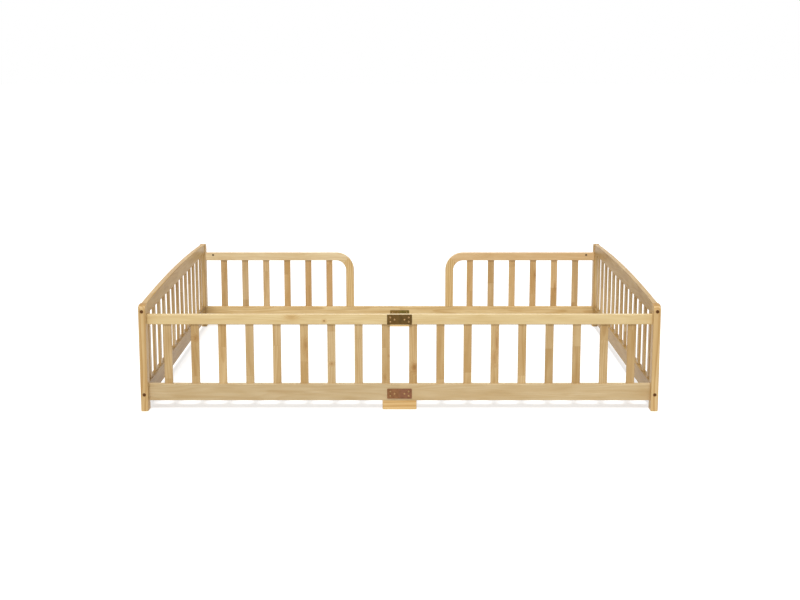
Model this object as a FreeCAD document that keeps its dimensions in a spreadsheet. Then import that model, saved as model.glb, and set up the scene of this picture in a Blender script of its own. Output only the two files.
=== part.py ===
import FreeCAD, Part
import Sketcher
import math
import os
import re

Vector = FreeCAD.Vector

# Toddler floor bed in solid pine: two arched end panels joined by a railed front and a
# back with an entrance between two short guards. +X runs along the bed, the front is -Y,
# and the origin lies on the floor at the middle of the bed. Lengths are in millimetres.

frontSlatsPerHalf = 9
guardSlats = 6
endSlats = 13

drivingSizes = {
    # the whole frame
    "bedLength": 1980,              # over the outer faces of the stiles
    "bedWidth": 1476,               # over the front and back edges of the stiles
    # end panels
    "stileThickness": 28,
    "stileWidth": 45,
    "stileHeight": 415,
    "stileCornerRadius": 20,        # outer top corner of each stile
    "stileRounding": 4,             # eased edges of the stiles
    "endRailThickness": 21,
    "endRailHeight": 45,            # of the arched rail, at its ends
    "archRise": 17,                 # crown of the arch over its ends
    # fence rails at the front and the back
    "floorGap": 36,                 # floor to the lower edge of every bottom rail
    "bottomRailHeight": 66,
    "topRailHeight": 39,            # also the width of the guard uprights
    "fenceDrop": 41,                # top of the stiles to the upper edge of the top rails
    "fenceRailThickness": 20,
    "edgeRounding": 3,
    "entranceWidth": 454,
    "guardCornerRadius": 88,        # outer radius of the bent guard corner
    # slats and their mortises
    "slatWidth": 31,
    "slatThickness": 10,
    "slatEase": 1.2,                # chamfer along the slats' edges
    "mortiseDepth": 6,
    "mortisePlay": 0.2,
    "frontSlatMargin": 76,          # stile to the middle of the first front slat
    "guardSlatMargin": 90.5,        # stile to the middle of the first guard slat
    "uprightSlatMargin": 83,        # upright to the middle of the last guard slat
    "endSlatMargin": 75,            # stile to the middle of the first end slat
    # splice plates over the middle joints
    "plateLength": 95,
    "plateHeight": 39,
    "plateThickness": 2,
    "plateCornerRadius": 3,
    "lowerPlateLift": 8,            # lower edge of the bottom rail to the plate
    "outerScrewSpread": 70,         # between the pairs of screws at the plate's ends
    "innerScrewSpread": 38,         # between the two screws at mid-height
    "screwStack": 17,               # between the screws of one pair
    "screwDiameter": 3.5,
    "screwHeadDiameter": 7,
    "screwHeadHeight": 2,
    "screwLength": 14,
    "screwPlay": 0.1,
    # middle feet
    "footLength": 131,
    "footDowelSpread": 90,
    "footRounding": 2.5,
    # knock-down fittings
    "boltDiameter": 6,
    "boltPlay": 0.5,
    "boltHeadDiameter": 12,
    "boltHeadHeight": 5,
    "boltSocket": 4,                # across the flats of the hexagon socket
    "boltOvershoot": 8,             # end of the bolt beyond the barrel nut's axis
    "counterboreDiameter": 14,
    "counterboreDepth": 8,
    "nutDiameter": 10,
    "nutLength": 14,
    "nutSetback": 38,               # end of a rail to the axis of its barrel nut
    "nutPlay": 0.1,
    "dowelDiameter": 8,
    "dowelLength": 30,
    "topBoltShare": 0.7,            # heights of the fittings, as a share of the rail's height
    "topDowelShare": 0.24,
    "lowBoltShare": 0.2,
    "lowDowelShare": 0.64,
    "endBoltShare": 0.44,
    "endDowelShare": 0.85,
}

derivedSizes = {
    "halfLength": "bedLength / 2",
    "halfWidth": "bedWidth / 2",
    "fenceLength": "halfLength - stileThickness",
    "fenceFront": "halfWidth - stileWidth + fenceRailThickness",
    "fenceMiddle": "fenceFront - fenceRailThickness / 2",
    "fenceRailMiddle": "fenceRailThickness / 2",
    "fenceHeight": "stileHeight - fenceDrop",
    "topRailLevel": "fenceHeight - topRailHeight",
    "bottomRailTop": "floorGap + bottomRailHeight",
    "endRailLevel": "stileHeight - endRailHeight",
    "endRailLength": "bedWidth - 2 * stileWidth",
    "endRailFace": "halfLength - stileThickness / 2 + endRailThickness / 2",
    "endRailMiddle": "endRailThickness / 2",
    "endPanelMiddle": "halfLength - stileThickness / 2",
    "archRadius": "((endRailLength / 2)^2 + archRise^2) / (2 * archRise)",
    "mortiseLength": "slatWidth + 2 * mortisePlay",
    "mortiseWidth": "slatThickness + 2 * mortisePlay",
    "frontPitch": f"(fenceLength - frontSlatMargin) / ({frontSlatsPerHalf} - 0.5)",
    "uprightFace": "fenceLength - entranceWidth / 2 - topRailHeight",
    "guardPitch": f"(uprightFace - uprightSlatMargin - guardSlatMargin) / ({guardSlats} - 1)",
    "endPitch": f"(endRailLength - 2 * endSlatMargin) / ({endSlats} - 1)",
    "slatLevel": "bottomRailTop - mortiseDepth",
    "fenceSlatLength": "topRailLevel - bottomRailTop + 2 * mortiseDepth",
    "endSlatLength": "endRailLevel - bottomRailTop + 2 * mortiseDepth",
    "innerCornerRadius": "guardCornerRadius - topRailHeight",
    "uprightHeight": "fenceHeight - guardCornerRadius - bottomRailTop",
    "upperPlateLevel": "topRailLevel + (topRailHeight - plateHeight) / 2",
    "lowerPlateLevel": "floorGap + lowerPlateLift",
    "boltHole": "boltDiameter + 2 * boltPlay",
    "boltDepth": "nutSetback + boltOvershoot + boltPlay",
    "nutHole": "nutDiameter + 2 * nutPlay",
    "endNutDepth": "(endRailThickness + nutLength) / 2",
    "fenceNutDepth": "(fenceRailThickness + nutLength) / 2",
    "halfDowel": "dowelLength / 2",
    "pilotHole": "screwDiameter + 2 * screwPlay",
    "pilotDepth": "screwLength - plateThickness + screwPlay",
    "topFenceBolt": "topRailLevel + topBoltShare * topRailHeight",
    "topFenceDowel": "topRailLevel + topDowelShare * topRailHeight",
    "lowFenceBolt": "floorGap + lowBoltShare * bottomRailHeight",
    "lowFenceDowel": "floorGap + lowDowelShare * bottomRailHeight",
    "topEndBolt": "endRailLevel + endBoltShare * endRailHeight",
    "topEndDowel": "endRailLevel + endDowelShare * endRailHeight",
    "lowEndBolt": "floorGap + endBoltShare * bottomRailHeight",
    "lowEndDowel": "floorGap + endDowelShare * bottomRailHeight",
}

doc = FreeCAD.newDocument("FloorBed")
sheet = doc.addObject("Spreadsheet::Sheet", "Sizes")
cells = [(name, str(value)) for name, value in drivingSizes.items()]
cells += [(name, "=" + formula) for name, formula in derivedSizes.items()]
for row, (name, content) in enumerate(cells, start=1):
    sheet.set(f"A{row}", name)
    sheet.set(f"B{row}", content)
    sheet.setAlias(f"B{row}", name)
doc.recompute()


def size(name):
    return float(getattr(sheet, name))


def bound(formula):
    """The same formula as objects outside the sheet write it."""
    return re.sub(r"[A-Za-z]+", r"Sizes.\g<0>", formula)


# Modelling helpers

def newBody(name):
    body = doc.addObject("PartDesign::Body", name)
    body.Label = name
    return body


def place(item, across, along, level):
    item.setExpression("Placement.Base.x", bound(across))
    item.setExpression("Placement.Base.y", bound(along))
    item.setExpression("Placement.Base.z", bound(level))


def originFeature(body, role):
    return next(item for item in body.Origin.OriginFeatures if item.Role == role)


def newSketch(body, name, plane, lift=None):
    sketch = body.newObject("Sketcher::SketchObject", name)
    sketch.AttachmentSupport = [(originFeature(body, plane), "")]
    sketch.MapMode = "FlatFace"
    if lift:
        sketch.setExpression("AttachmentOffset.Base.z", bound(lift))
    return sketch


def drawnValue(sketch, kind, where):
    """What a dimension measures on the outline as it is drawn."""
    if kind in ("Radius", "Diameter"):
        radius = sketch.Geometry[where[0]].Radius
        return radius if kind == "Radius" else 2 * radius
    travel = sketch.getPoint(where[2], where[3]) - sketch.getPoint(where[0], where[1])
    return travel.x if kind == "DistanceX" else travel.y


def gauge(sketch, name, formula, kind, *where):
    """Add one dimension whose value follows a formula of the sheet."""
    drawn = drawnValue(sketch, kind, where)
    index = sketch.addConstraint(Sketcher.Constraint(kind, *where, drawn))
    sketch.renameConstraint(index, name)
    sketch.setExpression("Constraints." + name, bound(formula))


def heading(curve, point):
    """Direction of a line or arc at a point, up to its sign."""
    if isinstance(curve, Part.LineSegment):
        return (curve.EndPoint - curve.StartPoint).normalize()
    return (point - curve.Center).cross(Vector(0, 0, 1)).normalize()


def drawLoop(sketch, curves):
    """Draw curves end to end, and join each to the next: tangent where they run smoothly."""
    indices = [sketch.addGeometry(curve, False) for curve in curves]
    for this, following in zip(indices, indices[1:] + indices[:1]):
        pairs = [(tail, head) for tail in (1, 2) for head in (1, 2)]
        gaps = [(sketch.getPoint(this, tail) - sketch.getPoint(following, head)).Length
                for tail, head in pairs]
        tail, head = pairs[gaps.index(min(gaps))]
        joint = sketch.getPoint(this, tail)
        bend = heading(sketch.Geometry[this], joint).cross(
            heading(sketch.Geometry[following], joint))
        kind = "Tangent" if bend.Length < 0.001 else "Coincident"
        sketch.addConstraint(Sketcher.Constraint(kind, this, tail, following, head))
    return indices[0]


def drawRectangle(sketch, name, width, height, left=None, low=None):
    corners = [Vector(5, 5, 0), Vector(25, 5, 0), Vector(25, 15, 0), Vector(5, 15, 0)]
    sides = [Part.LineSegment(corners[turn], corners[(turn + 1) % 4]) for turn in range(4)]
    base = drawLoop(sketch, sides)
    for turn, kind in enumerate(("Horizontal", "Vertical", "Horizontal", "Vertical")):
        sketch.addConstraint(Sketcher.Constraint(kind, base + turn))
    gauge(sketch, name + "Width", width, "DistanceX", base, 1, base, 2)
    gauge(sketch, name + "Height", height, "DistanceY", base + 1, 1, base + 1, 2)
    if left is None:
        sketch.addConstraint(Sketcher.Constraint("Coincident", base, 1, -1, 1))
    else:
        gauge(sketch, name + "Left", left, "DistanceX", -1, 1, base, 1)
        gauge(sketch, name + "Low", low, "DistanceY", -1, 1, base, 1)


def drawCircle(sketch, name, diameter, across, up):
    circle = Part.Circle(Vector(10, 10, 0), Vector(0, 0, 1), 4)
    index = sketch.addGeometry(circle, False)
    gauge(sketch, name + "Across", across, "DistanceX", -1, 1, index, 3)
    gauge(sketch, name + "Up", up, "DistanceY", -1, 1, index, 3)
    gauge(sketch, name + "Diameter", diameter, "Diameter", index)


def pad(body, name, sketch, thickness):
    feature = body.newObject("PartDesign::Pad", name)
    feature.Profile = sketch
    feature.setExpression("Length", bound(thickness))
    doc.recompute()
    return feature


def cut(body, name, sketch, depth, forward):
    """Pocket into the body; forward cuts along the sketch's normal."""
    before = body.Shape.Volume
    feature = body.newObject("PartDesign::Pocket", name)
    feature.Profile = sketch
    feature.Reversed = forward
    feature.setExpression("Length", bound(depth))
    doc.recompute()
    if body.Shape.Volume >= before:
        raise ValueError(f"{body.Label}: {name} removes nothing")
    return feature


def bore(body, name, plane, lift, forward, depth, diameter, places):
    """Round holes of one size, drilled from a plane; places are (name, across, up)."""
    sketch = newSketch(body, name + "Sketch", plane, lift)
    for label, across, up in places:
        drawCircle(sketch, label, diameter, across, up)
    return cut(body, name, sketch, depth, forward)


def repeat(body, name, feature, axis, count, pitch):
    pattern = body.newObject("PartDesign::LinearPattern", name)
    pattern.Originals = [feature]
    pattern.Direction = (originFeature(body, axis), [""])
    pattern.Occurrences = count
    pattern.setExpression("Length", bound(f"{count - 1} * {pitch}"))
    body.Tip = pattern
    doc.recompute()
    return pattern


def chosenEdges(base, chosen):
    edges = enumerate(base.Shape.Edges, start=1)
    return (base, [f"Edge{number}" for number, edge in edges if chosen(edge)])


def roundEdges(body, name, base, radius, chosen):
    """Round the edges of a feature that the test picks."""
    feature = body.newObject("PartDesign::Fillet", name)
    feature.Base = chosenEdges(base, chosen)
    feature.setExpression("Radius", bound(radius))
    doc.recompute()
    return feature


def easeEdges(body, name, base, width, chosen):
    """Chamfer the edges of a feature that the test picks."""
    feature = body.newObject("PartDesign::Chamfer", name)
    feature.Base = chosenEdges(base, chosen)
    feature.setExpression("Size", bound(width))
    doc.recompute()
    return feature


def runsAlong(edge, axis):
    ends = edge.Vertexes
    if len(ends) < 2:
        return False
    travel = ends[1].Point - ends[0].Point
    return travel.Length > 0 and abs(travel.dot(axis)) > 0.95 * travel.Length


def mirrored(source, name, normal=Vector(1, 0, 0)):
    """The same piece on the other side of the bed's middle."""
    twin = doc.addObject("Part::Mirroring", name)
    twin.Label = name
    twin.Source = source
    twin.Normal = normal
    return twin


def makeGroup(name, solids):
    group = doc.addObject("Part::Feature", name)
    group.Label = name
    group.Shape = Part.makeCompound(solids)
    return group


# End panels

def makeStile(name):
    """Front left stile: outline in the YZ plane, its outer top corner rounded."""
    width = size("stileWidth")
    height = size("stileHeight")
    radius = size("stileCornerRadius")
    slope = radius * (1 - math.sqrt(0.5))
    body = newBody(name)
    sketch = newSketch(body, "stileOutline", "YZ_Plane")
    corner = Part.Arc(Vector(radius, height, 0), Vector(slope, height - slope, 0),
                      Vector(0, height - radius, 0))
    drawLoop(sketch, [
        Part.LineSegment(Vector(0, 0, 0), Vector(width, 0, 0)),
        Part.LineSegment(Vector(width, 0, 0), Vector(width, height, 0)),
        Part.LineSegment(Vector(width, height, 0), Vector(radius, height, 0)),
        corner,
        Part.LineSegment(Vector(0, height - radius, 0), Vector(0, 0, 0)),
    ])
    sketch.addConstraint(Sketcher.Constraint("Coincident", 0, 1, -1, 1))
    for side, kind in ((0, "Horizontal"), (1, "Vertical"), (2, "Horizontal"), (4, "Vertical")):
        sketch.addConstraint(Sketcher.Constraint(kind, side))
    gauge(sketch, "width", "stileWidth", "DistanceX", 0, 1, 0, 2)
    gauge(sketch, "height", "stileHeight", "DistanceY", 1, 1, 1, 2)
    gauge(sketch, "cornerRadius", "stileCornerRadius", "Radius", 3)
    blank = pad(body, "stileBoard", sketch, "stileThickness")
    thickness = size("stileThickness")
    roundEdges(body, "stileEdges", blank, "stileRounding",
               lambda edge: abs(edge.CenterOfMass.x) < 0.01
               or abs(edge.CenterOfMass.x - thickness) < 0.01)
    # bolts into the end rails run along Y through the middle of the thickness
    endHoles = [("upper", "stileThickness / 2", "topEndBolt"),
                ("lower", "stileThickness / 2", "lowEndBolt")]
    bore(body, "endBoltHoles", "XZ_Plane", None, False, "stileWidth", "boltHole", endHoles)
    bore(body, "endCounterbores", "XZ_Plane", None, False, "counterboreDepth",
         "counterboreDiameter", endHoles)
    # bolts into the fence rails run along X at the middle of the fence
    fenceHoles = [("upper", "stileWidth - fenceRailMiddle", "topFenceBolt"),
                  ("lower", "stileWidth - fenceRailMiddle", "lowFenceBolt")]
    bore(body, "fenceBoltHoles", "YZ_Plane", None, True, "stileThickness", "boltHole",
         fenceHoles)
    bore(body, "fenceCounterbores", "YZ_Plane", None, True, "counterboreDepth",
         "counterboreDiameter", fenceHoles)
    bore(body, "endDowelHoles", "XZ_Plane", "- stileWidth", True, "halfDowel",
         "dowelDiameter", [("upper", "stileThickness / 2", "topEndDowel"),
                           ("lower", "stileThickness / 2", "lowEndDowel")])
    bore(body, "fenceDowelHoles", "YZ_Plane", "stileThickness", False, "halfDowel",
         "dowelDiameter", [("upper", "stileWidth - fenceRailMiddle", "topFenceDowel"),
                           ("lower", "stileWidth - fenceRailMiddle", "lowFenceDowel")])
    place(body, "- halfLength", "- halfWidth", "0")
    return body


def drillEndRail(body, height):
    """Bolt, dowel and barrel nut holes at both ends of a rail that runs along Y."""
    boltPlace = [("bolt", "endRailMiddle", f"endBoltShare * {height}")]
    dowelPlace = [("dowel", "endRailMiddle", f"endDowelShare * {height}")]
    bore(body, "frontBoltHole", "XZ_Plane", None, False, "boltDepth", "boltHole", boltPlace)
    bore(body, "backBoltHole", "XZ_Plane", "- endRailLength", True, "boltDepth", "boltHole",
         boltPlace)
    bore(body, "frontDowelHole", "XZ_Plane", None, False, "halfDowel", "dowelDiameter",
         dowelPlace)
    bore(body, "backDowelHole", "XZ_Plane", "- endRailLength", True, "halfDowel",
         "dowelDiameter", dowelPlace)
    bore(body, "nutHoles", "YZ_Plane", None, True, "endNutDepth", "nutHole",
         [("front", "nutSetback", f"endBoltShare * {height}"),
          ("back", "endRailLength - nutSetback", f"endBoltShare * {height}")])


def cutEndMortises(body, lift, forward):
    sketch = newSketch(body, "mortiseSketch", "XY_Plane", lift)
    drawRectangle(sketch, "mortise", "mortiseWidth", "mortiseLength",
                  "endRailMiddle - mortiseWidth / 2", "endSlatMargin - mortiseLength / 2")
    first = cut(body, "mortise", sketch, "mortiseDepth", forward)
    repeat(body, "mortises", first, "Y_Axis", endSlats, "endPitch")


def makeEndBottomRail(name):
    body = newBody(name)
    sketch = newSketch(body, "railPlan", "XY_Plane")
    drawRectangle(sketch, "rail", "endRailThickness", "endRailLength")
    blank = pad(body, "railBoard", sketch, "bottomRailHeight")
    roundEdges(body, "railEdges", blank, "edgeRounding",
               lambda edge: runsAlong(edge, Vector(0, 1, 0)))
    drillEndRail(body, "bottomRailHeight")
    cutEndMortises(body, "bottomRailHeight", False)
    place(body, "- endRailFace", "stileWidth - halfWidth", "floorGap")
    return body


def makeEndTopRail(name):
    """Arched rail: straight below, one shallow arc above."""
    length = size("endRailLength")
    height = size("endRailHeight")
    body = newBody(name)
    sketch = newSketch(body, "railOutline", "YZ_Plane")
    drawLoop(sketch, [
        Part.LineSegment(Vector(0, 0, 0), Vector(length, 0, 0)),
        Part.LineSegment(Vector(length, 0, 0), Vector(length, height, 0)),
        Part.Arc(Vector(length, height, 0), Vector(length / 2, height + size("archRise"), 0),
                 Vector(0, height, 0)),
        Part.LineSegment(Vector(0, height, 0), Vector(0, 0, 0)),
    ])
    sketch.addConstraint(Sketcher.Constraint("Coincident", 0, 1, -1, 1))
    for side, kind in ((0, "Horizontal"), (1, "Vertical"), (3, "Vertical")):
        sketch.addConstraint(Sketcher.Constraint(kind, side))
    sketch.addConstraint(Sketcher.Constraint("Equal", 1, 3))
    gauge(sketch, "length", "endRailLength", "DistanceX", 0, 1, 0, 2)
    gauge(sketch, "height", "endRailHeight", "DistanceY", 1, 1, 1, 2)
    gauge(sketch, "archRadius", "archRadius", "Radius", 2)
    blank = pad(body, "railBoard", sketch, "endRailThickness")
    roundEdges(body, "railEdges", blank, "edgeRounding",
               lambda edge: runsAlong(edge, Vector(0, 1, 0)))
    drillEndRail(body, "endRailHeight")
    cutEndMortises(body, None, True)
    place(body, "- endRailFace", "stileWidth - halfWidth", "endRailLevel")
    return body


# Front and back rails

def drillFenceRail(body, boltUp, dowelUp, nutFace, nutForward):
    """Bolt, dowel and barrel nut holes of a rail that runs along X from its stile."""
    bore(body, "boltHole", "YZ_Plane", None, True, "boltDepth", "boltHole",
         [("bolt", "fenceRailMiddle", boltUp)])
    bore(body, "dowelHole", "YZ_Plane", None, True, "halfDowel", "dowelDiameter",
         [("dowel", "fenceRailMiddle", dowelUp)])
    bore(body, "jointDowelHole", "YZ_Plane", "fenceLength", False, "halfDowel",
         "dowelDiameter", [("dowel", "fenceRailMiddle", dowelUp)])
    bore(body, "nutHole", "XZ_Plane", nutFace, nutForward, "fenceNutDepth", "nutHole",
         [("nut", "nutSetback", boltUp)])


def cutFenceMortises(body, lift, forward, margin, count, pitch):
    sketch = newSketch(body, "mortiseSketch", "XY_Plane", lift)
    drawRectangle(sketch, "mortise", "mortiseLength", "mortiseWidth",
                  f"{margin} - mortiseLength / 2", "fenceRailMiddle - mortiseWidth / 2")
    first = cut(body, "mortise", sketch, "mortiseDepth", forward)
    repeat(body, "mortises", first, "X_Axis", count, pitch)


def drillPlateHoles(body, face, forward, plateLevel):
    """Pilot holes for one half of a splice plate's screws."""
    middle = f"{plateLevel} + plateHeight / 2"
    bore(body, "plateHoles", "XZ_Plane", face, forward, "pilotDepth", "pilotHole",
         [("high", "fenceLength - outerScrewSpread / 2", f"{middle} + screwStack / 2"),
          ("low", "fenceLength - outerScrewSpread / 2", f"{middle} - screwStack / 2"),
          ("inner", "fenceLength - innerScrewSpread / 2", middle)])


def makeFenceBlank(name, height):
    body = newBody(name)
    sketch = newSketch(body, "railPlan", "XY_Plane")
    drawRectangle(sketch, "rail", "fenceLength", "fenceRailThickness")
    blank = pad(body, "railBoard", sketch, height)
    roundEdges(body, "railEdges", blank, "edgeRounding",
               lambda edge: runsAlong(edge, Vector(1, 0, 0)))
    return body


def makeFrontTopRail(name):
    body = makeFenceBlank(name, "topRailHeight")
    drillFenceRail(body, "topFenceBolt - topRailLevel", "topFenceDowel - topRailLevel",
                   "- fenceRailThickness", True)
    drillPlateHoles(body, None, False, "upperPlateLevel - topRailLevel")
    cutFenceMortises(body, None, True, "frontSlatMargin", frontSlatsPerHalf, "frontPitch")
    place(body, "- fenceLength", "- fenceFront", "topRailLevel")
    return body


def makeFrontBottomRail(name):
    body = makeFenceBlank(name, "bottomRailHeight")
    drillFenceRail(body, "lowFenceBolt - floorGap", "lowFenceDowel - floorGap",
                   "- fenceRailThickness", True)
    drillPlateHoles(body, None, False, "lowerPlateLift")
    drillFootHole(body)
    cutFenceMortises(body, "bottomRailHeight", False, "frontSlatMargin", frontSlatsPerHalf,
                     "frontPitch")
    place(body, "- fenceLength", "- fenceFront", "floorGap")
    return body


def makeBackBottomRail(name):
    body = makeFenceBlank(name, "bottomRailHeight")
    drillFenceRail(body, "lowFenceBolt - floorGap", "lowFenceDowel - floorGap", None, False)
    drillPlateHoles(body, None, False, "lowerPlateLift")
    drillFootHole(body)
    bore(body, "uprightDowelHole", "XY_Plane", "bottomRailHeight", False, "halfDowel",
         "dowelDiameter", [("dowel", "uprightFace + topRailHeight / 2", "fenceRailMiddle")])
    cutFenceMortises(body, "bottomRailHeight", False, "guardSlatMargin", guardSlats,
                     "guardPitch")
    place(body, "- fenceLength", "halfWidth - stileWidth", "floorGap")
    return body


def drillFootHole(body):
    bore(body, "footDowelHole", "XY_Plane", None, True, "halfDowel", "dowelDiameter",
         [("dowel", "fenceLength - footDowelSpread / 2", "fenceRailMiddle")])


# Guards beside the entrance: a rail and an upright meet in a mitre in the bent corner

def onCircle(middle, radius, angle):
    return middle + Vector(radius * math.cos(angle), radius * math.sin(angle), 0)


def cornerArc(middle, radius, start, end):
    return Part.Arc(onCircle(middle, radius, start), onCircle(middle, radius, (start + end) / 2),
                    onCircle(middle, radius, end))


def makeGuardTopRail(name):
    """From the stile along X and half way round the corner."""
    outer = size("guardCornerRadius")
    inner = size("innerCornerRadius")
    turn = size("fenceLength") - size("entranceWidth") / 2 - outer
    middle = Vector(turn, -inner, 0)
    upright = math.pi / 2
    mitre = math.pi / 4
    height = size("topRailHeight")
    body = newBody(name)
    sketch = newSketch(body, "railOutline", "XZ_Plane")
    drawLoop(sketch, [
        Part.LineSegment(Vector(0, 0, 0), Vector(turn, 0, 0)),
        cornerArc(middle, inner, upright, mitre),
        Part.LineSegment(onCircle(middle, inner, mitre), onCircle(middle, outer, mitre)),
        cornerArc(middle, outer, mitre, upright),
        Part.LineSegment(Vector(turn, height, 0), Vector(0, height, 0)),
        Part.LineSegment(Vector(0, height, 0), Vector(0, 0, 0)),
    ])
    holdGuardOutline(sketch, (0, 4), (5,), 1, 2, 3)
    gauge(sketch, "turn", "fenceLength - entranceWidth / 2 - guardCornerRadius", "DistanceX",
          0, 1, 0, 2)
    blank = pad(body, "railBoard", sketch, "fenceRailThickness")
    roundGuardEdges(body, blank)
    boltUp = "topFenceBolt - topRailLevel"
    bore(body, "boltHole", "YZ_Plane", None, True, "boltDepth", "boltHole",
         [("bolt", "- fenceRailMiddle", boltUp)])
    bore(body, "dowelHole", "YZ_Plane", None, True, "halfDowel", "dowelDiameter",
         [("dowel", "- fenceRailMiddle", "topFenceDowel - topRailLevel")])
    bore(body, "nutHole", "XZ_Plane", "fenceRailThickness", False, "fenceNutDepth", "nutHole",
         [("nut", "nutSetback", boltUp)])
    sketch = newSketch(body, "mortiseSketch", "XY_Plane")
    drawRectangle(sketch, "mortise", "mortiseLength", "mortiseWidth",
                  "guardSlatMargin - mortiseLength / 2", "- fenceRailMiddle - mortiseWidth / 2")
    first = cut(body, "mortise", sketch, "mortiseDepth", True)
    repeat(body, "mortises", first, "X_Axis", guardSlats, "guardPitch")
    place(body, "- fenceLength", "fenceFront", "topRailLevel")
    return body


def makeGuardUpright(name):
    """From the bottom rail up and half way round the corner."""
    outer = size("guardCornerRadius")
    inner = size("innerCornerRadius")
    width = size("topRailHeight")
    rise = size("uprightHeight")
    middle = Vector(-inner, rise, 0)
    mitre = math.pi / 4
    body = newBody(name)
    sketch = newSketch(body, "uprightOutline", "XZ_Plane")
    drawLoop(sketch, [
        Part.LineSegment(Vector(0, 0, 0), Vector(width, 0, 0)),
        Part.LineSegment(Vector(width, 0, 0), Vector(width, rise, 0)),
        cornerArc(middle, outer, 0, mitre),
        Part.LineSegment(onCircle(middle, outer, mitre), onCircle(middle, inner, mitre)),
        cornerArc(middle, inner, mitre, 0),
        Part.LineSegment(Vector(0, rise, 0), Vector(0, 0, 0)),
    ])
    holdGuardOutline(sketch, (0,), (1, 5), 4, 3, 2)
    gauge(sketch, "rise", "uprightHeight", "DistanceY", 1, 1, 1, 2)
    blank = pad(body, "uprightBoard", sketch, "fenceRailThickness")
    roundGuardEdges(body, blank)
    bore(body, "dowelHole", "XY_Plane", None, True, "halfDowel", "dowelDiameter",
         [("dowel", "topRailHeight / 2", "- fenceRailMiddle")])
    place(body, "uprightFace - fenceLength", "fenceFront", "bottomRailTop")
    return body


def holdGuardOutline(sketch, levelSides, uprightSides, innerArc, mitre, outerArc):
    """Hold an outline's first corner at the origin, and its two arcs about one centre."""
    sketch.addConstraint(Sketcher.Constraint("Coincident", 0, 1, -1, 1))
    for side in levelSides:
        sketch.addConstraint(Sketcher.Constraint("Horizontal", side))
    for side in uprightSides:
        sketch.addConstraint(Sketcher.Constraint("Vertical", side))
    sketch.addConstraint(Sketcher.Constraint("Coincident", innerArc, 3, outerArc, 3))
    sketch.addConstraint(Sketcher.Constraint("PointOnObject", innerArc, 3, mitre))
    gauge(sketch, "innerRadius", "innerCornerRadius", "Radius", innerArc)
    gauge(sketch, "outerRadius", "guardCornerRadius", "Radius", outerArc)


def roundGuardEdges(body, blank):
    """Round the long edges on both faces, and leave the ends and the mitre square."""
    depth = size("fenceRailThickness")

    def isLong(edge):
        onFace = abs(edge.CenterOfMass.y) < 0.01 or abs(edge.CenterOfMass.y + depth) < 0.01
        return onFace and edge.Length > size("topRailHeight") + 0.01 or (
            onFace and isinstance(edge.Curve, Part.Circle))

    roundEdges(body, "longEdges", blank, "edgeRounding", isLong)


# Slats

def makeSlat(name, length, width="slatWidth", depth="slatThickness"):
    body = newBody(name)
    sketch = newSketch(body, "slatPlan", "XY_Plane")
    drawRectangle(sketch, "slat", width, depth)
    blank = pad(body, "slatBoard", sketch, length)
    easeEdges(body, "slatEdges", blank, "slatEase",
              lambda edge: runsAlong(edge, Vector(0, 0, 1)))
    return body


def makeFrontSlat(name, step):
    body = makeSlat(name, "fenceSlatLength")
    place(body, f"frontSlatMargin + {step} * frontPitch - slatWidth / 2 - fenceLength",
          "- fenceMiddle - slatThickness / 2", "slatLevel")
    return body


def makeGuardSlat(name, step):
    body = makeSlat(name, "fenceSlatLength")
    place(body, f"guardSlatMargin + {step} * guardPitch - slatWidth / 2 - fenceLength",
          "fenceMiddle - slatThickness / 2", "slatLevel")
    return body


def makeEndSlats(name):
    """Thirteen loose slats of one end panel, kept together in one node."""
    pattern = makeSlat("endSlatPattern", "endSlatLength", "slatThickness", "slatWidth")
    slats = []
    for step in range(endSlats):
        slat = pattern.Shape.copy()
        middle = size("endSlatMargin") + step * size("endPitch")
        slat.translate(Vector(-size("endPanelMiddle") - size("slatThickness") / 2,
                              middle - size("slatWidth") / 2 - size("endRailLength") / 2,
                              size("slatLevel")))
        slats.append(slat)
    return makeGroup(name, slats)


# Metal fittings, dowels and feet

def makePlate(name, along, level):
    """Splice plate with six screw holes, its back on the faces of both rail halves."""
    body = newBody(name)
    sketch = newSketch(body, "plateOutline", "XZ_Plane")
    drawRectangle(sketch, "plate", "plateLength", "plateHeight")
    blank = pad(body, "plateSheet", sketch, "plateThickness")
    roundEdges(body, "plateCorners", blank, "plateCornerRadius",
               lambda edge: runsAlong(edge, Vector(0, 1, 0)))
    holes = []
    for side, sign in (("left", "-"), ("right", "+")):
        outer = f"plateLength / 2 {sign} outerScrewSpread / 2"
        inner = f"plateLength / 2 {sign} innerScrewSpread / 2"
        holes.append((side + "High", outer, "plateHeight / 2 + screwStack / 2"))
        holes.append((side + "Low", outer, "plateHeight / 2 - screwStack / 2"))
        holes.append((side + "Inner", inner, "plateHeight / 2"))
    bore(body, "screwHoles", "XZ_Plane", None, True, "plateThickness", "pilotHole", holes)
    place(body, "- plateLength / 2", along, level)
    return body


def makeMiddleFoot(name, along):
    """Block under a middle joint, doweled up into both rail halves."""
    body = newBody(name)
    sketch = newSketch(body, "footPlan", "XY_Plane")
    drawRectangle(sketch, "foot", "footLength", "fenceRailThickness")
    blank = pad(body, "footBlock", sketch, "floorGap")
    roundEdges(body, "footEdges", blank, "footRounding",
               lambda edge: runsAlong(edge, Vector(0, 0, 1)) or edge.CenterOfMass.z < 0.01)
    bore(body, "dowelHoles", "XY_Plane", "floorGap", False, "halfDowel", "dowelDiameter",
         [("left", "footLength / 2 - footDowelSpread / 2", "fenceRailMiddle"),
          ("right", "footLength / 2 + footDowelSpread / 2", "fenceRailMiddle")])
    place(body, "- footLength / 2", along, "0")
    return body


def turned(profile):
    """A turned solid about Z from a half profile of (radius, height) points."""
    outline = Part.makePolygon([Vector(radius, 0, height) for radius, height in profile])
    return Part.Face(outline).revolve(Vector(0, 0, 0), Vector(0, 0, 1), 360)


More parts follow.
